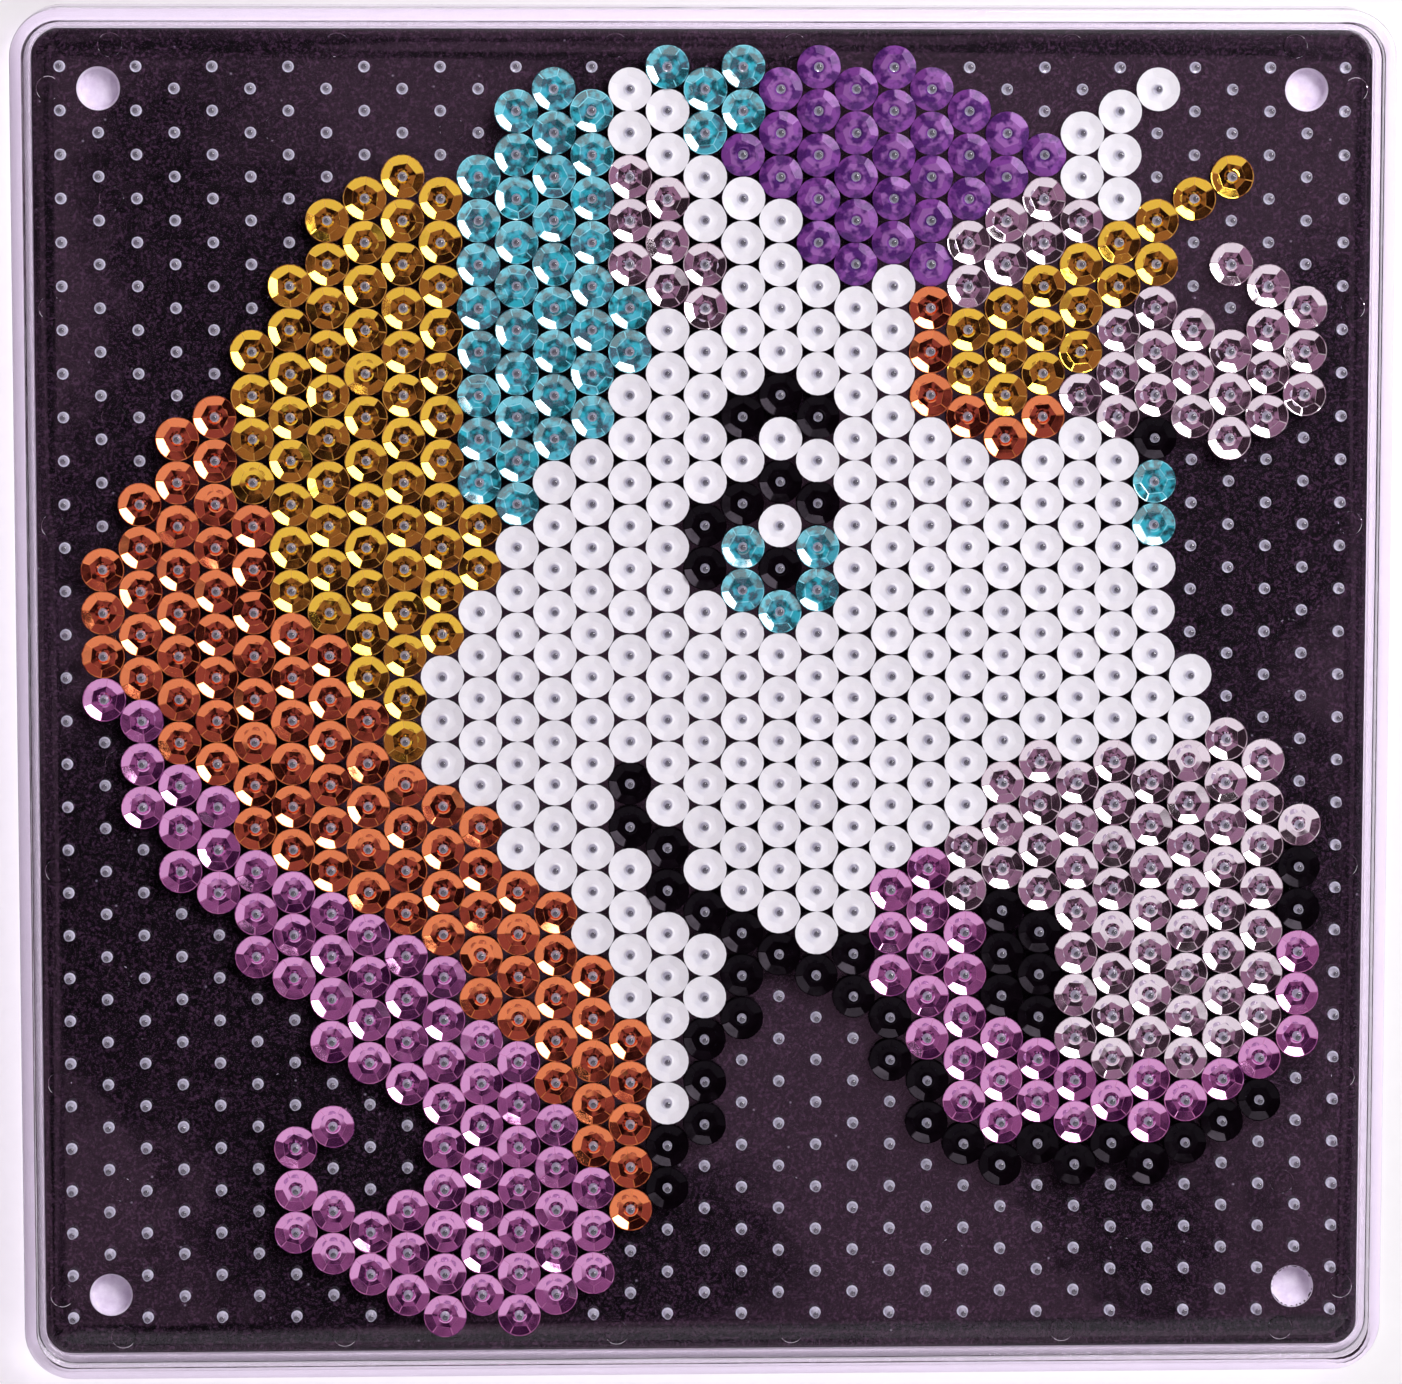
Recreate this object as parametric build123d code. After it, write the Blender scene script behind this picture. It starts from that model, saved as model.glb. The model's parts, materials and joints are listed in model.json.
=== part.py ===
from build123d import *
import math
import os

# A sequin peg board: a clear tray moulded with a staggered field of pins, a black card
# pushed onto four posts under it, and loose cup sequins threaded on the pins.
# Sizes are in millimetres. Z = 0 is the surface that the board lies on, +Z comes out of
# the picture, +Y is the top of the picture.

os.makedirs("parts", exist_ok=True)

# ---- driving sizes -----------------------------------------------------------
pitch = 6.0                  # between neighbouring pins, one sequin apart
columns = 35                 # upright columns of pins
half_rows = 59               # half-pitch rows; every other one has a pin in a column
rim_height = 9.0             # whole height of the board
plate_top = 4.5              # top of the plate that carries the pins
plate_thickness = 1.5
pin_height = 2.0
board_top_width = 189.6      # across the top edge of the rim
board_base_width = 191.2     # across the foot of the outer wall
card_width = 184.8
card_thickness = 0.5
sequin_diameter = 5.8
film = 0.14                  # thickness of a sequin

# ---- derived sizes -----------------------------------------------------------
column_step = pitch * math.sqrt(3) / 2
row_step = pitch / 2
middle_column = (columns - 1) / 2
middle_row = (half_rows - 1) / 2
last_column = columns - 1
last_row = half_rows - 1
plate_bottom = plate_top - plate_thickness

outer_corner = 7.4           # corner radius at the foot of the outer wall
tray_floor_width = card_width
tray_mouth_gain = 1.4        # the tray is this much wider at its mouth
tray_corner = 4.4
recess_mouth_width = card_width + 2.2
recess_gain = 1.0            # the recess under the plate is this much narrower at its roof
recess_corner = 4.7
rim_round = 0.45

pin_root_radius = 0.80
pin_neck_radius = 0.58
pin_neck = pin_height - 0.3  # where the taper ends and the round tip starts
pin_sunk = 0.3               # how far a pin's root runs into the plate

post_radius = 2.84
post_foot = 0.4              # the posts stop this far above the table
post_x = (middle_column - 1) * column_step
post_y = (middle_row - 1) * row_step
card_hole_radius = 2.9
card_top = plate_bottom - 0.1
card_corner = 3.3

mark_radius = 1.7            # round marks left by the mould's ejector pins
mark_depth = 0.12

sequin_radius = sequin_diameter / 2
sequin_hole_radius = 0.94
sequin_seat = plate_top + 0.2
sequin_floor = 1.95          # radius of the cup's flat floor
sequin_lip = 2.72            # radius where the side ends and the flat lip starts
sequin_depth = 0.62


# ---- the peg lattice ---------------------------------------------------------
def peg_point(column, row):
    """Board position of a peg, counted from the left column and the top half row."""
    return ((column - middle_column) * column_step, (middle_row - row) * row_step)


def is_post(column, row):
    """The four places inside the corners where a post takes the place of a pin."""
    return column in (1, last_column - 1) and row in (1, last_row - 1)


pegs = [
    (column, row)
    for column in range(columns)
    for row in range(half_rows)
    if (column + row) % 2 == 0 and not is_post(column, row)
]


# ---- the picture -------------------------------------------------------------
# A unicorn's head looking right. Points are (column, half row) on the peg lattice.
# A line takes the pegs that it runs over, a patch takes the pegs inside its outline.
# A peg belongs to the first line or patch that reaches it.
lines = {
    "black_brows": [[(18, 16), (19, 15), (20, 16)], [(29, 17)]],
    "black_near_eye": [[(17, 23), (17, 21), (19, 19), (20, 20)], [(19, 23)]],
    "teal_near_iris": [[(18, 22), (18, 24), (19, 25), (20, 24), (20, 22)]],
    "teal_far_iris": [[(29, 19), (29, 21)]],
    "black_jaw": [[
        (15, 33), (15, 35), (16, 36), (16, 38), (20, 42), (21, 41), (21, 43), (22, 44), (22, 46),
    ]],
    "black_chin": [[(23, 47), (23, 49), (25, 51), (26, 50), (27, 51), (28, 50), (29, 51), (32, 48)]],
    "black_throat": [[(18, 42), (18, 44), (17, 45), (17, 49), (16, 50), (16, 52)]],
    "black_nostril": [[(25, 39), (25, 43), (26, 44), (26, 40)]],
    "black_lip": [[(33, 37), (33, 39)]],
}
patches = {
    "purple_forelock": [
        (17.5, 4), (19, 0), (20, -1), (22.5, -1), (26.6, 3.6), (24, 7.2), (23.5, 9.6), (20.5, 9.6),
    ],
    "teal_mane": [
        (10.5, 4.2), (12, 1), (13, 0.2), (14.5, 1), (14.5, 10), (15.5, 10.3), (15.5, 13.6),
        (13, 18), (12.4, 20.6), (10.5, 19.6),
    ],
    "teal_tuft": [(15.6, -0.6), (18.6, -0.6), (18.4, 2.6), (17, 3.6), (16.6, 1)],
    "pink_near_ear": [(14.5, 3.2), (16, 5), (17.5, 8.6), (17.5, 12.2), (14.5, 9.8)],
    "pink_far_ear": [(23.5, 7.6), (26, 5.2), (27.5, 6.5), (26.4, 8.8), (24, 10.8), (23.5, 10)],
    "gold_horn": [
        (23.6, 11.6), (30.6, 4.4), (31.4, 4.6), (31.4, 5.8), (30, 7.5), (28, 11.7), (25, 16.2),
        (23.6, 14.8),
    ],
    "orange_horn_base": [
        (22.5, 10.2), (23.6, 10.6), (24, 14.8), (26.4, 14.8), (26.4, 16.8), (25, 17.8), (22.5, 15.6),
    ],
    "pink_mane_tuft": [
        (26.5, 14.6), (29, 10), (31, 12.2), (31.5, 10.6), (30.6, 9), (31, 8.2), (33.5, 10.4),
        (33.5, 15.8), (31, 18), (30, 16.8), (28, 16.8), (26.6, 15.8),
    ],
    "gold_mane": [
        (4.5, 12.3), (7, 6.3), (8.8, 4.2), (10.5, 5.2), (10.5, 19.8), (11.5, 20.2), (11.5, 23.8),
        (9.4, 28), (9.4, 31.8), (8.6, 31.8), (8.5, 28.9), (7.5, 28.6), (7.4, 26), (5.8, 25),
        (5.5, 20), (4.5, 19.6),
    ],
    "orange_mane": [
        (0.6, 22.4), (1.4, 21.6), (3, 16), (4.4, 15), (9, 32), (11, 34.2), (15.5, 44.6), (15.3, 54),
        (14, 50.6), (10, 41.2), (5, 35.4), (0.6, 27.2),
    ],
    "magenta_curl": [
        (5.4, 49.6), (7, 48), (7.4, 49.6), (6.5, 51.4), (8, 53.2), (9, 52), (10.4, 53), (10.4, 59),
        (5.4, 54.6),
    ],
    "magenta_mane": [
        (0.6, 27.6), (5, 33), (14.5, 49), (14.5, 56.6), (12.5, 59), (10.4, 59), (9.4, 49.6),
        (1.6, 35.2), (1.5, 30.2), (0.6, 29.8),
    ],
    "pink_muzzle": [
        (23.4, 36.4), (25, 31.8), (30.2, 31.5), (31, 30.2), (32.2, 31.4), (33.4, 34.2), (32.5, 36.5),
        (32.5, 44.8), (30, 46.9), (28, 46.7), (26.6, 45.6), (26.5, 39), (23.5, 38.8),
    ],
    "magenta_lip": [
        (21.5, 37.4), (23, 36), (24.2, 39.6), (33.5, 40.2), (33.5, 46), (29, 50), (24.6, 50),
        (21.5, 43.4),
    ],
    "white_near_ear": [(14.5, 0), (15.6, 0), (18.6, 5.4), (18.6, 8.8), (17, 8), (14.5, 4)],
    "white_far_ear": [(26.5, 3), (29, 0), (29.6, 1.2), (28.5, 3), (28.5, 6.8), (26.5, 5.8)],
    "white_neck": [
        (10.4, 32.8), (14.6, 32.2), (17.6, 40.4), (17.6, 44), (16.5, 49.4), (15.6, 49), (10.4, 34),
    ],
    "white_face": [
        (9.5, 27.4), (12, 20), (18, 5), (28.4, 16.6), (28.6, 22), (29.5, 22.4), (29.6, 27),
        (30.5, 27.4), (30.5, 30.8), (26, 34), (22.6, 37), (20, 41.4), (16.6, 38), (14.5, 32.4),
        (9.5, 33),
    ],
}
line_reach = 0.3 * pitch     # a line takes pegs this close to it


def distance_to_segment(point, start, end):
    """Distance in millimetres from a point to the straight piece between two others."""
    run_x = end[0] - start[0]
    run_y = end[1] - start[1]
    length_squared = run_x**2 + run_y**2
    along = 0.0
    if length_squared > 0:
        along = ((point[0] - start[0]) * run_x + (point[1] - start[1]) * run_y) / length_squared
        along = min(1.0, max(0.0, along))
    gap_x = point[0] - start[0] - along * run_x
    gap_y = point[1] - start[1] - along * run_y
    return math.hypot(gap_x, gap_y)


def on_line(peg, stroke):
    """True if a peg lies on a stroke given by its corner pegs."""
    here = peg_point(*peg)
    corners = [peg_point(*corner) for corner in stroke]
    ends = corners[1:] or corners
    return any(distance_to_segment(here, a, b) < line_reach for a, b in zip(corners, ends))


def in_patch(peg, outline):
    """True if a peg lies inside an outline, by counting crossings to its right."""
    column, row = peg
    inside = False
    for (column_a, row_a), (column_b, row_b) in zip(outline, outline[1:] + outline[:1]):
        if (row_a > row) != (row_b > row):
            crossing = column_a + (row - row_a) * (column_b - column_a) / (row_b - row_a)
            if column < crossing:
                inside = not inside
    return inside


def region_of(peg):
    """Name of the picture's region that a peg belongs to, or None for a bare peg."""
    for name, strokes in lines.items():
        if any(on_line(peg, stroke) for stroke in strokes):
            return name
    for name, outline in patches.items():
        if in_patch(peg, outline):
            return name
    return None


# ---- the clear peg board -----------------------------------------------------
def drafted_block(width, corner, foot_z, height, gain):
    """A square block with rounded corners whose width changes by gain from foot to top."""
    lean = -math.degrees(math.atan(gain / 2 / height))
    foot = Pos(0, 0, foot_z) * RectangleRounded(width, width, corner)
    return extrude(foot, height, taper=lean)


def pin():
    """One pin: a tapered shaft with a round tip, its root sunk in the plate."""
    tip_rise = pin_height - pin_neck
    tip_radius = (pin_neck_radius**2 + tip_rise**2) / (2 * tip_rise)
    half_angle = math.asin(pin_neck_radius / tip_radius) / 2
    tip_middle = (
        tip_radius * math.sin(half_angle),
        pin_height - tip_radius * (1 - math.cos(half_angle)),
    )
    outline = Polyline(
        (0, pin_height),
        (0, -pin_sunk),
        (pin_root_radius, -pin_sunk),
        (pin_root_radius, 0),
        (pin_neck_radius, pin_neck),
    )
    tip = ThreePointArc((pin_neck_radius, pin_neck), tip_middle, (0, pin_height))
    return revolve(Plane.XZ * make_face([outline, tip]), Axis.Z)


def post():
    """One of the four posts under the plate that hold the card."""
    height = plate_bottom + pin_sunk - post_foot
    peg = Pos(0, 0, post_foot) * Cylinder(post_radius, height, align=(Align.CENTER, Align.CENTER, Align.MIN))
    return chamfer(peg.edges().sort_by(Axis.Z)[0], 0.3)


def ejector_marks():
    """Shallow round marks on the plate's underside, the same in all four quarters."""
    edge = 90.0
    quarter = [(edge, 84), (edge, 54), (edge, 24), (81.5, 69), (81.5, 39), (81.5, 9)]
    quarter += [(81.5, edge), (50.5, edge), (12.3, edge), (59, 78.5), (34.8, 78.5)]
    quarter += [(59, 54.3), (12.3, 69.5)]
    mark = Cylinder(mark_radius, 2 * mark_depth)
    return [
        Pos(side_x * x, side_y * y, plate_bottom) * mark
        for x, y in quarter
        for side_x in (-1, 1)
        for side_y in (-1, 1)
    ]


def build_peg_board():
    """The tray, its plate, the pins and the posts, all one moulding."""
    block = drafted_block(
        board_base_width, outer_corner, 0, rim_height, board_top_width - board_base_width
    )
    tray = drafted_block(
        tray_floor_width, tray_corner, plate_top, rim_height - plate_top, tray_mouth_gain
    )
    recess = drafted_block(recess_mouth_width, recess_corner, 0, plate_bottom, -recess_gain)
    body = block - tray - recess
    body = fillet(body.edges().group_by(Axis.Z)[-1], rim_round)
    body = body - ejector_marks()
    one_post = post()
    posts = [Pos(x, y, 0) * one_post for x in (-post_x, post_x) for y in (-post_y, post_y)]
    body = body.fuse(*posts)
    one_pin = pin()
    pins = [Pos(*peg_point(*peg), plate_top) * one_pin for peg in pegs]
    return body.fuse(*pins)


# ---- the black card ----------------------------------------------------------
def build_backing_card():
    """Card with rounded corners and four punched holes for the posts."""
    sheet = extrude(RectangleRounded(card_width, card_width, card_corner), -card_thickness)
    sheet = Pos(0, 0, card_top) * sheet
    punch = Cylinder(card_hole_radius, 4 * card_thickness)
    holes = [Pos(x, y, card_top) * punch for x in (-post_x, post_x) for y in (-post_y, post_y)]
    return sheet - holes


# ---- the sequins -------------------------------------------------------------
def cup_sequin():
    """One sequin: a shallow cup of film with a flat floor, a sloping side and a flat lip."""
    rise = sequin_depth
    section = Polyline(
        (sequin_hole_radius, 0),
        (sequin_floor, 0),
        (sequin_lip, rise),
        (sequin_radius, rise),
        (sequin_radius, rise + film),
        (sequin_lip - 0.4 * film, rise + film),
        (sequin_floor - 0.4 * film, film),
        (sequin_hole_radius, film),
        close=True,
    )
    return revolve(Plane.XZ * make_face(section), Axis.Z)


def build_region(members, sequin):
    """The separate sequins of one region, each on its own pin."""
    return Compound(children=[Pos(*peg_point(*peg), sequin_seat) * sequin for peg in members])


# ---- write one file per node -------------------------------------------------
export_step(build_peg_board(), "parts/peg_board.step")
export_step(build_backing_card(), "parts/backing_card.step")

regions = {}
for peg in pegs:
    region = region_of(peg)
    if region is not None:
        regions.setdefault(region, []).append(peg)

sequin = cup_sequin()
for region, members in regions.items():
    export_step(build_region(members, sequin), f"parts/{region}.step")
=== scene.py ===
import json
import math
import random
from dataclasses import dataclass

import bmesh
import bpy
from mathutils import Matrix, Vector
from mathutils.geometry import delaunay_2d_cdt


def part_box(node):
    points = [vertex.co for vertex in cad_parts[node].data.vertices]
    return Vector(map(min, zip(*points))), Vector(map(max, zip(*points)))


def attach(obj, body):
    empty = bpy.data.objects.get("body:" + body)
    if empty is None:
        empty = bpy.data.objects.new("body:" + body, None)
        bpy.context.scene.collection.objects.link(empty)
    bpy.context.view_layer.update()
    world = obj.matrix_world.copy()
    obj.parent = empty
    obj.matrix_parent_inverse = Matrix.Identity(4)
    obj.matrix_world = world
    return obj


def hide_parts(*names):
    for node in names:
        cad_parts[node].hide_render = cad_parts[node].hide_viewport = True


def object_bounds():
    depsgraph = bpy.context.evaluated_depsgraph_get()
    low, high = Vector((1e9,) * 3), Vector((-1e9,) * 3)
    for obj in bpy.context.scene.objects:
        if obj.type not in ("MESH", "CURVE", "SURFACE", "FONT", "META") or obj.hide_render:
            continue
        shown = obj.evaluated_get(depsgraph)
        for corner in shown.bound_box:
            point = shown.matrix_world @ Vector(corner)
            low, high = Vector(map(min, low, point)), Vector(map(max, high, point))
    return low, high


# The looks of the sequin peg board: a clear moulding with pins, a black card under it, and
# faceted cup sequins on the pins. +X is right, +Y is up in the picture, +Z is out of it.

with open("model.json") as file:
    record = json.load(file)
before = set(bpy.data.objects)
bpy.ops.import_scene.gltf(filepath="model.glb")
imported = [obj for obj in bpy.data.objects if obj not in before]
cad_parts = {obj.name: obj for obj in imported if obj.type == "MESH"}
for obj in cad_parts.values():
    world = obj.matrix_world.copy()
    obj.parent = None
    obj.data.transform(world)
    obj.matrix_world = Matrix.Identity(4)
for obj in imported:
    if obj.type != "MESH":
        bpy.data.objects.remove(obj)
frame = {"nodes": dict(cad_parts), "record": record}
cad_low, cad_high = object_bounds()

# ---- sizes in millimetres, as the CAD model has them ---------------------------
MM = 0.001
pitch = 6.0                          # between neighbouring pins
columns = 35
half_rows = 59
column_step = pitch * math.sqrt(3) / 2
row_step = pitch / 2
middle_column = (columns - 1) / 2
middle_row = (half_rows - 1) / 2

rim_height = cad_high.z / MM
foot_half = cad_high.x / MM          # half the board's width across the outer foot
rim_half = foot_half - 0.8           # the same at the rim's top
tray_mouth_half = rim_half - 1.7
tray_floor_half = tray_mouth_half - 0.7
tray_corner = 4.4
recess_mouth_half = foot_half - 2.1
recess_roof_half = recess_mouth_half - 0.5
plate_top = 4.5
plate_bottom = 3.0

pin_height = 2.0
post_radius = 2.84
post_foot = 0.4                      # the posts stop this far above the floor
post_x = (middle_column - 1) * column_step
post_y = (middle_row - 1) * row_step
post_spots = [(x, y) for x in (-post_x, post_x) for y in (-post_y, post_y)]
mark_radius = 1.7                    # ejector pin marks under the plate
mark_depth = 0.12

card_low, card_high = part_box("backing_card")
card_half = card_high.x / MM
card_corner = 3.3
card_hole_radius = 2.9

sequin_seat = plate_top + 0.2        # height of a cup's floor

# ---- sizes in millimetres that only the looks have ------------------------------
pin_rings = [                        # a pin's radius at heights above the plate
    (0.8, 0), (0.7, 0.2), (0.64, 0.45), (0.6, 0.8), (0.56, 1.7), (0.47, 1.86), (0.27, 1.97),
]
pin_sides = 12
post_sides = 40
post_chamfer = 0.3
mark_sides = 32
mark_draft = 0.08                    # a mark's roof is this much smaller than its mouth
hole_sides = 72
corner_steps = 10                    # straight pieces round a quarter turn

film = 0.08                          # thickness of the sequins' film
sequin_radius = 3.0
sequin_hole = 0.67                   # radius at the top of the collar round the pin
collar_foot = 0.93                   # the film is bent up round the pin from here
collar_rise = 0.24
flat_ring = 1.1                      # radius of the flat ring round the collar
hexagon = 1.66                       # from the middle to the inner hexagon's sides
dish_rise = 0.03                     # the hexagon is this much above the flat ring
lip = 2.87                           # radius where the facets end
soft_bend = 0.02                     # rise at the collar's foot and across the lip
facet_slope = math.tan(math.radians(20))
sharp_crease = 0.02                  # half the width of a crease in stiff film
soft_crease = 0.08                   # the same in the teal and purple film
crease_turn = math.radians(1.8)      # half the angle that a crease between facets takes
facets = 6
sector = 2 * math.pi / facets
dome_height = 0.6                    # top of a purple sequin, which is threaded upside down

sequin_slide = 0.04                  # the most that a sequin sits off its pin, each way
cup_lean = (3, 6)                    # usual and largest lean of a sequin in degrees
dome_lean = (2, 4)                   # the same for the purple sequins
sequin_seed = 11
tear_seed = 5


# ---- camera --------------------------------------------------------------------
def aim(thing, place, direction, up):
    """Puts a camera or lamp at a place, looking along a direction."""
    forward = Vector(direction).normalized()
    right = forward.cross(Vector(up)).normalized()
    turn = Matrix((right, right.cross(forward), -forward)).transposed()
    thing.matrix_world = Matrix.Translation(place) @ turn.to_4x4()


def add_camera():
    """A long lens almost straight above the board, a little up and left of its middle."""
    data = bpy.data.cameras.new("camera")
    data.sensor_width = 36
    data.lens = 136.4
    data.clip_start = 0.01
    camera = bpy.data.objects.new("camera", data)
    bpy.context.scene.collection.objects.link(camera)
    place = (-0.0285, 0.0764, 0.738)
    direction = (0.0379, -0.1025, -0.994)
    up = (0.0032, 0.9947, -0.1024)
    aim(camera, place, direction, up)
    bpy.context.scene.camera = camera


# ---- node helpers --------------------------------------------------------------
class Shader:
    """The nodes of a material or world, with short calls for adding and joining them."""

    def __init__(self, owner):
        self.owner = owner
        owner.use_nodes = True
        self.tree = owner.node_tree
        self.tree.nodes.clear()

    def add(self, kind, settings=None, **inputs):
        node = self.tree.nodes.new("ShaderNode" + kind)
        for key, value in (settings or {}).items():
            setattr(node, key, value)
        for key, value in inputs.items():
            self.put(node.inputs[key.replace("_", " ")], value)
        return node

    def put(self, socket, value):
        """Joins a socket to another socket, or sets its value."""
        if isinstance(value, bpy.types.NodeSocket):
            self.tree.links.new(value, socket)
        elif socket.type == "RGBA":
            socket.default_value = (*value, 1)
        else:
            socket.default_value = value

    def fill(self, node, values):
        """Puts values into a node's first inputs, in order."""
        for socket, value in zip(node.inputs, values):
            self.put(socket, value)
        return node

    def place(self):
        """Coordinates in metres in the row frame."""
        return self.add("TexCoord").outputs["Object"]

    def up_part(self, vector):
        """The Z part of a vector."""
        return self.add("SeparateXYZ", Vector=vector).outputs["Z"]

    def noise(self, scale, detail=3.0, vector=None, roughness=0.5):
        node = self.add("TexNoise", Scale=scale, Detail=detail, Roughness=roughness)
        self.put(node.inputs["Vector"], vector or self.place())
        return node.outputs["Fac"]

    def span(self, value, low, high, to_low=0.0, to_high=1.0):
        """Maps a value's range onto another, held at the ends."""
        node = self.fill(self.add("MapRange"), (value, low, high, to_low, to_high))
        return node.outputs["Result"]

    def mix(self, share, first, second):
        """One colour to another by a share."""
        node = self.add("Mix", {"data_type": "RGBA"})
        self.put(node.inputs["Factor"], share)
        self.put(node.inputs[6], first)
        self.put(node.inputs[7], second)
        return node.outputs[2]

    def mix_surfaces(self, share, first, second):
        """One surface to another by a share."""
        return self.fill(self.add("MixShader"), (share, first.outputs[0], second.outputs[0]))

    def maths(self, operation, *values):
        return self.fill(self.add("Math", {"operation": operation}), values).outputs[0]

    def bump(self, height, strength, distance):
        node = self.add("Bump", Height=height, Strength=strength, Distance=distance)
        return node.outputs["Normal"]

    def let_lamps_through(self, surface, tint):
        """The surface as it is, but a tinted pane to the rays that look for lamps."""
        pane = self.add("BsdfTransparent", Color=tint)
        looks_for_lamp = self.add("LightPath").outputs["Is Shadow Ray"]
        return self.mix_surfaces(looks_for_lamp, surface, pane)

    def finish(self, surface):
        """Joins a surface to the output, and gives the finished material or world."""
        kind = "OutputWorld" if isinstance(self.owner, bpy.types.World) else "OutputMaterial"
        self.add(kind, Surface=surface.outputs[0])
        return self.owner


# ---- materials -----------------------------------------------------------------
def material_shader(name):
    return Shader(bpy.data.materials.new(name))


def clear_plastic():
    """Clear polystyrene with a lilac cast and slow ripples. Lamps shine through it."""
    s = material_shader("clear_plastic")
    ripple = s.noise(60, 2)
    haze = s.noise(900, 3)
    glass = s.add(
        "BsdfPrincipled",
        Base_Color=(0.76, 0.7, 0.79),
        Roughness=s.span(haze, 0.35, 0.75, 0.02, 0.07),
        IOR=1.59,
        Transmission_Weight=1.0,
        Normal=s.bump(ripple, 0.15, 0.0004),
    )
    return s.finish(s.let_lamps_through(glass, (0.93, 0.9, 0.95)))


def pin_plastic():
    """The same clear plastic, frosted at the pins' roots and polished on their tips."""
    s = material_shader("pin_plastic")
    glass = s.add(
        "BsdfPrincipled",
        Base_Color=(0.97, 0.97, 0.99),
        Roughness=s.span(s.noise(4000, 2), 0.3, 0.7, 0.03, 0.1),
        IOR=1.59,
        Transmission_Weight=1.0,
    )
    white = (0.88, 0.86, 0.99)
    inside = s.add("BsdfTranslucent", Color=white)
    outside = s.add("BsdfDiffuse", Color=white)
    frost = s.mix_surfaces(0.4, inside, outside)
    root = (plate_top + 0.3) * MM
    shaft = (plate_top + 0.8) * MM
    on_sides = s.span(s.up_part(s.place()), root, shaft, 1, 0.55)
    off_tip = s.span(s.up_part(s.add("TexCoord").outputs["Normal"]), 0.7, 0.9, 1, 0.3)
    body = s.mix_surfaces(s.maths("MULTIPLY", on_sides, off_tip), glass, frost)
    return s.finish(s.let_lamps_through(body, (0.75, 0.77, 0.82)))


def post_plastic():
    """The posts' dull, pale skin, with faint swirls from the mould."""
    s = material_shader("post_plastic")
    swirl = s.span(s.noise(420, 5, roughness=0.7), 0.4, 0.62)
    tone = s.mix(swirl, (0.95, 0.92, 0.98), (0.8, 0.74, 0.84))
    return s.finish(s.add("BsdfDiffuse", Color=tone, Roughness=0.5))


def black_card():
    """Black card with a paper grain, paler fibres and a little dust."""
    s = material_shader("black_card")
    grain = s.noise(2600, 4)
    fibre = s.noise(900, 5, roughness=0.7)
    cloud = s.noise(45, 2)
    dust = s.add("TexVoronoi", Scale=260, Vector=s.place()).outputs["Distance"]
    colour = s.mix(s.span(fibre, 0.4, 0.65), (0.0006, 0.0002, 0.0006), (0.008, 0.004, 0.007))
    colour = s.mix(s.span(grain, 0.5, 0.66, 0, 0.95), colour, (0.07, 0.035, 0.062))
    colour = s.mix(s.span(cloud, 0.3, 0.7, 0, 0.35), colour, (0.001, 0.0005, 0.001))
    colour = s.mix(s.span(dust, 0.02, 0.06, 0.6, 0), colour, (0.4, 0.38, 0.42))
    body = s.add(
        "BsdfPrincipled",
        Base_Color=colour,
        Roughness=s.span(grain, 0.3, 0.7, 0.5, 0.8),
        Specular_IOR_Level=0.1,
        Normal=s.bump(grain, 0.4, 0.0001),
    )
    return s.finish(body)


@dataclass
class Film:
    """One colour of sequin film."""

    dye: tuple
    second: tuple                    # a second shade of dye, in patches
    shine: tuple                     # colour of the shiny coating
    crease: tuple                    # paler colour of the creases, partly the film's own, partly a painted highlight where they catch the light; also the colour of fine scuffs
    coated: float                    # share of the coating over the dye
    roughness: float                 # of the coating
    uneven: float = 0.2              # how much darker the darkest sequin is
    middle: tuple = None             # painted light: a lighter colour painted on the flat middle, where it faces up, if any


films = {
    "white": Film(
        dye=(0.84, 0.83, 0.87),
        second=(0.86, 0.85, 0.88),
        shine=(0.9, 0.9, 0.92),
        crease=(0.82, 0.81, 0.86),
        coated=0.02,
        roughness=0.3,
        uneven=0.04,
    ),
    "pale_pink": Film(
        dye=(0.3, 0.17, 0.24),
        second=(0.4, 0.22, 0.3),
        shine=(0.95, 0.82, 0.9),
        crease=(0.9, 0.75, 0.82),
        coated=0.93,
        roughness=0.05,
    ),
    "teal": Film(
        dye=(0.012, 0.11, 0.14),
        second=(0.04, 0.56, 0.7),
        shine=(0.85, 0.98, 1.0),
        crease=(0.24, 0.75, 0.88),
        coated=0.24,
        roughness=0.06,
    ),
    "purple": Film(
        dye=(0.22, 0.055, 0.31),
        second=(0.07, 0.015, 0.14),
        shine=(0.9, 0.6, 1.0),
        crease=(0.24, 0.08, 0.33),
        coated=0.035,
        roughness=0.2,
        # painted light: the flat middle, which faces up, painted lighter than the dye
        middle=(0.31, 0.12, 0.39),
    ),
    "magenta": Film(
        dye=(0.28, 0.06, 0.26),
        second=(0.16, 0.02, 0.16),
        shine=(0.88, 0.42, 0.76),
        crease=(0.6, 0.2, 0.45),
        coated=0.82,
        roughness=0.06,
    ),
    "gold": Film(
        dye=(0.3, 0.1, 0.04),
        second=(0.15, 0.04, 0.02),
        shine=(0.97, 0.59, 0.07),
        crease=(0.9, 0.45, 0.1),
        coated=0.93,
        roughness=0.05,
    ),
    "orange": Film(
        dye=(0.25, 0.04, 0.03),
        second=(0.15, 0.02, 0.02),
        shine=(0.95, 0.27, 0.11),
        crease=(0.9, 0.25, 0.08),
        coated=0.92,
        roughness=0.05,
    ),
    "black": Film(
        dye=(0.001, 0.0004, 0.001),
        second=(0.002, 0.001, 0.002),
        shine=(0.9, 0.75, 0.95),
        crease=(0.002, 0.001, 0.002),
        coated=0.01,
        roughness=0.2,
    ),
}
crease_coating = 0.55                # a crease has this share of its film's coating


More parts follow.
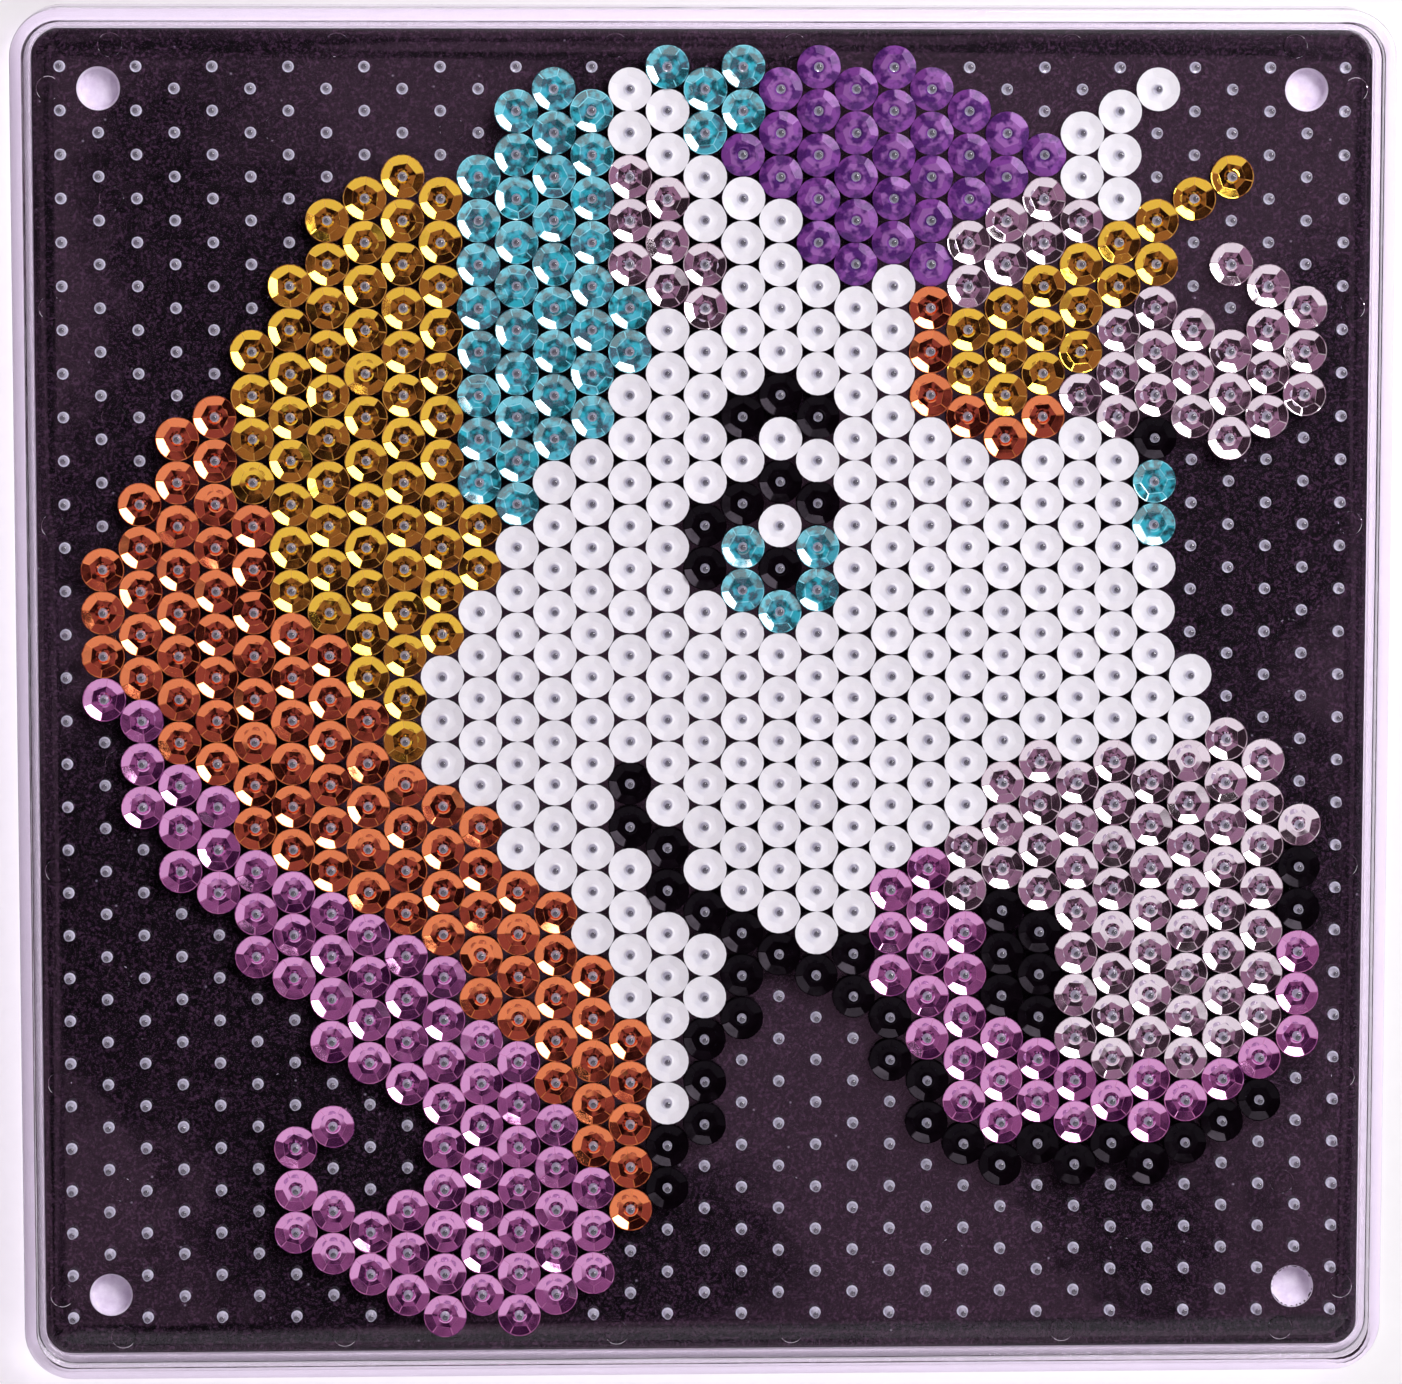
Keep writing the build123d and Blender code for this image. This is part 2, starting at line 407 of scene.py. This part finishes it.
def film_shader(name, dyes, look, coated):
    """Coated film: each sequin's shade differs a little, and the film has fine scuffs."""
    s = material_shader(name)
    one = s.add("NewGeometry").outputs["Random Per Island"]
    worn = s.noise(700, 3)
    sag = s.noise(230, 1)
    uneven = s.bump(s.maths("ADD", s.maths("MULTIPLY", sag, 8), worn), 1, 0.000003)
    # Faces that point straight up, the flat middle round the pin, take look.middle where it is
    # given: painted light, made lighter because the middle faces the light.
    level = s.up_part(s.add("TexCoord").outputs["Normal"])
    first = s.mix(s.span(level, 0.96, 0.98), dyes[0], look.middle or look.dye)
    dye = s.mix(s.span(s.noise(650, 2), 0.44, 0.58), first, dyes[1])
    dye = s.mix(s.maths("MULTIPLY", one, look.uneven), dye, (0, 0, 0))
    dye = s.mix(s.span(s.noise(5200, 2), 0.5, 0.8, 0, 0.15), dye, look.crease)
    body = s.add("BsdfDiffuse", Color=dye, Normal=uneven)
    shine = s.mix(one, look.shine, tuple(c * 0.9 for c in look.shine))
    rough = s.span(worn, 0.3, 0.75, look.roughness * 0.7, look.roughness * 1.6)
    coat = s.add("BsdfAnisotropic", Color=shine, Roughness=rough, Normal=uneven)
    return s.finish(s.mix_surfaces(coated, body, coat))


def film_pair(name, look):
    """The materials of one colour's facets and of its creases."""
    facet = film_shader("film_" + name, (look.dye, look.second), look, look.coated)
    # The creases' material is the pale crease colour with less coating: partly the film's own paler
    # creases, partly a painted highlight where the creases catch the light.
    creases = (look.crease, look.crease)
    crease = film_shader("crease_" + name, creases, look, look.coated * crease_coating)
    return [facet, crease]


def floor_paper():
    """Plain pale paper."""
    s = material_shader("floor_paper")
    tone = s.mix(s.noise(400, 4), (0.93, 0.93, 0.93), (0.97, 0.97, 0.97))
    return s.finish(
        s.add("BsdfPrincipled", Base_Color=tone, Roughness=0.9, Specular_IOR_Level=0.1)
    )


# ---- mesh helpers --------------------------------------------------------------
def circle(radius, z, count, x, y):
    """Points round a level circle, anticlockwise."""
    turns = [2 * math.pi * k / count for k in range(count)]
    return [(x + radius * math.cos(a), y + radius * math.sin(a), z) for a in turns]


def rounded_square(half, corner, z):
    """Points round a level square with rounded corners, anticlockwise."""
    points = []
    for quarter in range(4):
        turn = math.pi / 2 * quarter
        mid_x = (half - corner) * (1 if quarter in (0, 3) else -1)
        mid_y = (half - corner) * (1 if quarter in (0, 1) else -1)
        for k in range(corner_steps + 1):
            a = turn + math.pi / 2 * k / corner_steps
            points.append((mid_x + corner * math.cos(a), mid_y + corner * math.sin(a), z))
    return points


class Builder:
    """Collects points and faces, then makes a piece of them."""

    def __init__(self):
        self.points = []
        self.faces = []
        self.looks = []              # each face's place in the piece's list of materials

    def loop(self, points):
        """Adds points and gives their indices."""
        start = len(self.points)
        self.points += points
        return list(range(start, start + len(points)))

    def face(self, corners, look=0):
        self.faces.append(corners)
        self.looks.append(look)

    def bridge(self, first, second, look=0):
        """Quads between two closed loops of the same length."""
        count = len(first)
        for k in range(count):
            after = (k + 1) % count
            self.face([first[k], first[after], second[after], second[k]], look)

    def fan(self, loop, middle, look=0):
        """Triangles from a loop to a new middle point."""
        tip = self.loop([middle])[0]
        for k, corner in enumerate(loop):
            self.face([corner, loop[(k + 1) % len(loop)], tip], look)

    def cap(self, loop, look=0):
        """A fan to the middle of a loop, at the loop's own height."""
        spots = [Vector(self.points[k]) for k in loop]
        self.fan(loop, tuple(sum(spots, Vector()) / len(spots)), look)

    def flat_with_holes(self, outline, holes):
        """Triangles that fill a level outline and leave its holes open."""
        loops = [outline, *holes]
        order = [k for loop in loops for k in loop]
        flat = [Vector(self.points[k][:2]) for k in order]
        rings = []
        start = 0
        for loop in loops:
            rings.append(list(range(start, start + len(loop))))
            start += len(loop)
        triangles_inside = 1
        made = delaunay_2d_cdt(flat, [], rings, triangles_inside, 1e-6)
        source = [order[origin[0]] for origin in made[3]]
        for corners, parents in zip(made[2], made[5]):
            if parents == [0]:
                self.face([source[k] for k in corners])

    def piece(self, name, materials, smooth_below):
        """The finished object, its shading smooth where faces meet below an angle."""
        mesh = bpy.data.meshes.new(name)
        mesh.from_pydata([Vector(p) * MM for p in self.points], [], self.faces)
        for material in materials:
            mesh.materials.append(material)
        mesh.polygons.foreach_set("material_index", self.looks)
        work = bmesh.new()
        work.from_mesh(mesh)
        bmesh.ops.recalc_face_normals(work, faces=work.faces)
        work.to_mesh(mesh)
        work.free()
        mesh.shade_smooth()
        mesh.set_sharp_from_angle(angle=math.radians(smooth_below))
        thing = bpy.data.objects.new(name, mesh)
        bpy.context.scene.collection.objects.link(thing)
        return thing


# ---- the clear board -----------------------------------------------------------
pin_look = 1                         # places in the board's list of materials
post_look = 2


def peg_point(column, row):
    """A pin's x and y, counted from the left column and the top half row."""
    return ((column - middle_column) * column_step, (middle_row - row) * row_step)


def is_post(column, row):
    """The four places inside the corners where a post takes the place of a pin."""
    return column in (1, columns - 2) and row in (1, half_rows - 2)


pegs = [
    (column, row)
    for column in range(columns)
    for row in range(half_rows)
    if (column + row) % 2 == 0 and not is_post(column, row)
]


def add_pin(build, x, y):
    """One pin as rings from its root to its round tip. Gives its root ring."""
    loops = [
        build.loop(circle(radius, plate_top + z, pin_sides, x, y)) for radius, z in pin_rings
    ]
    for lower, upper in zip(loops, loops[1:]):
        build.bridge(lower, upper, pin_look)
    build.fan(loops[-1], (x, y, plate_top + pin_height), pin_look)
    return loops[0]


def add_post(build, x, y):
    """One post under the plate, with a small fillet at its root. Gives its root ring."""
    rings = [
        (post_radius + 0.15, plate_bottom),
        (post_radius, plate_bottom - 0.2),
        (post_radius, post_foot + post_chamfer),
        (post_radius - post_chamfer, post_foot),
    ]
    loops = [build.loop(circle(radius, z, post_sides, x, y)) for radius, z in rings]
    for upper, lower in zip(loops, loops[1:]):
        build.bridge(upper, lower, post_look)
    build.cap(loops[-1], post_look)
    return loops[0]


def add_mark(build, x, y):
    """One shallow round mark in the plate's underside. Gives its mouth."""
    mouth = build.loop(circle(mark_radius, plate_bottom, mark_sides, x, y))
    roof = build.loop(circle(mark_radius - mark_draft, plate_bottom + mark_depth, mark_sides, x, y))
    build.bridge(mouth, roof)
    build.cap(roof)
    return mouth


def ejector_spots():
    """Middles of the round marks, the same in all four quarters."""
    edge = 90.0
    quarter = [(edge, 84), (edge, 54), (edge, 24), (81.5, 69), (81.5, 39), (81.5, 9)]
    quarter += [(81.5, edge), (50.5, edge), (12.3, edge), (59, 78.5), (34.8, 78.5)]
    quarter += [(59, 54.3), (12.3, 69.5)]
    return [(sx * x, sy * y) for x, y in quarter for sx in (-1, 1) for sy in (-1, 1)]


def build_board():
    """The clear moulding: rim, plate, pins and posts in one closed surface."""
    build = Builder()
    profile = [                      # half width and height, from the tray over the rim
        (tray_floor_half - 0.35, plate_top),
        (tray_floor_half - 0.1, plate_top + 0.08),
        (tray_floor_half + 0.04, plate_top + 0.4),
        (tray_mouth_half - 0.06, rim_height - 0.5),
        (tray_mouth_half + 0.1, rim_height - 0.12),
        (tray_mouth_half + 0.42, rim_height),
        (rim_half - 0.42, rim_height),
        (rim_half - 0.1, rim_height - 0.12),
        (rim_half + 0.04, rim_height - 0.5),
        (foot_half - 0.02, 0.25),
        (foot_half - 0.25, 0),
        (recess_mouth_half + 0.2, 0),
        (recess_mouth_half, 0.2),
        (recess_roof_half + 0.02, plate_bottom - 0.3),
        (recess_roof_half - 0.25, plate_bottom),
    ]
    loops = []
    for half, z in profile:
        corner = tray_corner + half - tray_floor_half
        loops.append(build.loop(rounded_square(half, corner, z)))
    for first, second in zip(loops, loops[1:]):
        build.bridge(first, second)

    pin_roots = [add_pin(build, *peg_point(*peg)) for peg in pegs]
    build.flat_with_holes(loops[0], pin_roots)
    marks = [add_mark(build, x, y) for x, y in ejector_spots()]
    post_roots = [add_post(build, x, y) for x, y in post_spots]
    build.flat_with_holes(loops[-1], marks + post_roots)

    board = build.piece("clear_peg_board", [clear_plastic(), pin_plastic(), post_plastic()], 45)
    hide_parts("peg_board")
    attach(board, "board")


# ---- the card ------------------------------------------------------------------
def card_hole(x, y, z, torn):
    """A punched hole, or the one at the lower right that tore when the card was pushed on."""
    points = circle(card_hole_radius, z, hole_sides, x, y)
    if not torn:
        return points
    rng = random.Random(tear_seed)
    ragged = []
    for px, py, pz in points:
        grow = rng.uniform(0.94, 1.04)
        ragged.append((x + (px - x) * grow, y + (py - y) * grow, pz))
    return ragged


def build_card():
    """The black card with its four holes."""
    build = Builder()
    faces = []
    for z in (card_high.z / MM, card_low.z / MM):
        outline = build.loop(rounded_square(card_half, card_corner, z))
        holes = [build.loop(card_hole(x, y, z, torn=x > 0 > y)) for x, y in post_spots]
        build.flat_with_holes(outline, holes)
        faces.append([outline, *holes])
    for upper, lower in zip(*faces):
        build.bridge(upper, lower)
    card = build.piece("backing_card_paper", [black_card()], 30)
    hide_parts("backing_card")
    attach(card, "card")


# ---- the sequins ---------------------------------------------------------------
facet_look = 0                       # places in a sequin's list of materials
crease_look = 1


def sequin_form(crease):
    """One faceted cup, its creases as wide as asked, and which of its faces are creases."""
    build = Builder()
    offsets = [crease_turn, sector / 4, sector / 2, 3 * sector / 4, sector - crease_turn]
    # a spot is an angle round the sequin, and the same from its facet's middle
    spots = [
        (k * sector + offset, offset - sector / 2) for k in range(facets) for offset in offsets
    ]

    def ring(radius, height):
        points = []
        for turn, swing in spots:
            r = radius(swing)
            points.append((r * math.cos(turn), r * math.sin(turn), height(swing) + film))
        return build.loop(points)

    def same(value):
        return lambda swing: value

    def hexagon_at(reach):
        return lambda swing: reach / math.cos(swing)

    def lip_height(drop):
        return lambda swing: dish_rise + facet_slope * (lip * math.cos(swing) - hexagon) - drop

    rings = [
        ring(same(sequin_hole), same(collar_rise)),
        ring(same(collar_foot), same(soft_bend)),
        ring(same(flat_ring), same(0)),
        ring(hexagon_at(hexagon - crease), same(dish_rise)),
        ring(hexagon_at(hexagon + crease), same(dish_rise + facet_slope * crease)),
        ring(same(lip), lip_height(0)),
        ring(same(sequin_radius), lip_height(-soft_bend)),
        ring(same(sequin_radius), lip_height(film - soft_bend)),
        ring(hexagon_at(hexagon + crease), same(dish_rise - film)),
        ring(same(flat_ring), same(-film)),
        ring(same(collar_foot), same(soft_bend - film)),
        ring(same(sequin_hole), same(collar_rise - film)),
    ]
    hexagon_step, facet_step, lip_step = 3, 4, 5
    for step, (first, second) in enumerate(zip(rings, rings[1:] + rings[:1])):
        count = len(first)
        for k in range(count):
            after = (k + 1) % count
            between_facets = step == facet_step and k % len(offsets) == len(offsets) - 1
            creased = step in (hexagon_step, lip_step) or between_facets
            look = crease_look if creased else facet_look
            build.face([first[k], first[after], second[after], second[k]], look)
    return build


def nearest_peg(x, y):
    """Column and half row of the peg nearest to a point given in millimetres."""
    column = round(x / column_step + middle_column)
    best = None
    for near in (column - 1, column, column + 1):
        odd = near % 2               # a column's rows are all odd or all even, as it is
        row = 2 * round((middle_row - y / row_step - odd) / 2) + odd
        px, py = peg_point(near, row)
        gap = math.hypot(x - px, y - py)
        if best is None or gap < best[0]:
            best = (gap, near, row)
    return best[1:]


def threaded_pegs(node):
    """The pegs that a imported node's sequins are on: each point is nearest to its own peg."""
    points = frame["nodes"][node].data.vertices
    return sorted({nearest_peg(point.co.x / MM, point.co.y / MM) for point in points})


def build_sequins(node, slot, form, rng, materials):
    """All the sequins of one region, each turned and tilted a little on its pin."""
    build = Builder()
    flipped = slot == "film_purple"
    usual_lean, most_lean = dome_lean if flipped else cup_lean
    for column, row in threaded_pegs(node):
        x, y = peg_point(column, row)
        turn = Matrix.Rotation(rng.uniform(0, sector), 3, "Z")
        toward = rng.uniform(0, 2 * math.pi)
        axis = Vector((math.cos(toward), math.sin(toward), 0))
        lean = min(most_lean, abs(rng.gauss(0, usual_lean)))
        tilt = Matrix.Rotation(math.radians(lean), 3, axis)
        slide_x = rng.uniform(-sequin_slide, sequin_slide)
        slide_y = rng.uniform(-sequin_slide, sequin_slide)
        base = Vector((x, y, sequin_seat)) + Vector((slide_x, slide_y, 0))
        start = len(build.points)
        for point in form.points:
            local = Vector(point)
            if flipped:
                local = Vector((local.x, -local.y, dome_height - local.z))
            build.points.append(tuple(base + tilt @ (turn @ local)))
        build.faces += [[start + k for k in face] for face in form.faces]
        build.looks += form.looks
    piece = build.piece(node + "_film", materials, 30 if slot == "film_white" else 5)
    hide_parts(node)
    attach(piece, node + "_sequins")


# ---- light, floor, world -------------------------------------------------------
def add_softbox(name, azimuth, elevation, distance, width, height, energy):
    """A soft lamp that faces the board from a direction given in degrees."""
    data = bpy.data.lights.new(name, "AREA")
    data.shape = "RECTANGLE"
    data.size = width
    data.size_y = height
    data.energy = energy
    lamp = bpy.data.objects.new(name, data)
    bpy.context.scene.collection.objects.link(lamp)
    a, e = math.radians(azimuth), math.radians(elevation)
    toward = Vector((math.cos(a) * math.cos(e), math.sin(a) * math.cos(e), math.sin(e)))
    board_middle = Vector((0, 0, plate_top * MM))
    aim(lamp, board_middle + toward * distance, -toward, (0, 0, 1))


def add_floor():
    """A pale sheet under the board, a hair lower than its foot."""
    size = 3.0
    mesh = bpy.data.meshes.new("floor")
    corners = [(-size, -size, 0), (size, -size, 0), (size, size, 0), (-size, size, 0)]
    mesh.from_pydata(corners, [], [(0, 1, 2, 3)])
    mesh.materials.append(floor_paper())
    floor = bpy.data.objects.new("floor", mesh)
    floor.location.z = -0.0002
    bpy.context.scene.collection.objects.link(floor)


def add_world():
    """A studio: a bright side below the picture, a patchy dim ceiling and a pale horizon."""
    s = Shader(bpy.data.worlds.new("studio"))
    toward = s.add("TexCoord").outputs["Generated"]
    patches = s.noise(13, 1, vector=toward)
    ceiling = s.mix(s.span(patches, 0.47, 0.53), (0.002, 0.001, 0.002), (0.3, 0.165, 0.26))
    bright_side = (0.21, -0.98, 0)
    across = s.fill(s.add("VectorMath", {"operation": "DOT_PRODUCT"}), (toward, bright_side))
    room = s.mix(s.span(across.outputs["Value"], 0.26, 0.3), ceiling, (0.87, 0.86, 0.89))
    horizon = s.span(s.up_part(toward), 0.08, 0.16, 0.95, 0)
    room = s.mix(horizon, room, (0.88, 0.88, 0.9))
    bpy.context.scene.world = s.finish(s.add("Background", Color=room))


# ---- put it together -----------------------------------------------------------
bpy.context.scene.view_settings.view_transform = "Standard"
add_camera()
add_floor()
add_world()
add_softbox(
    "key_softbox", azimuth=45, elevation=50, distance=0.9, width=0.58, height=0.34, energy=6.8
)

build_board()
build_card()

film_materials = {"film_" + name: film_pair(name, look) for name, look in films.items()}
sharp_form = sequin_form(sharp_crease)
soft_form = sequin_form(soft_crease)
rng = random.Random(sequin_seed)
for subpart in frame["record"]["subparts"]:
    slot = subpart["material_slot"]
    if slot in film_materials:
        form = soft_form if slot in ("film_teal", "film_purple") else sharp_form
        build_sequins(subpart["node"], slot, form, rng, film_materials[slot])
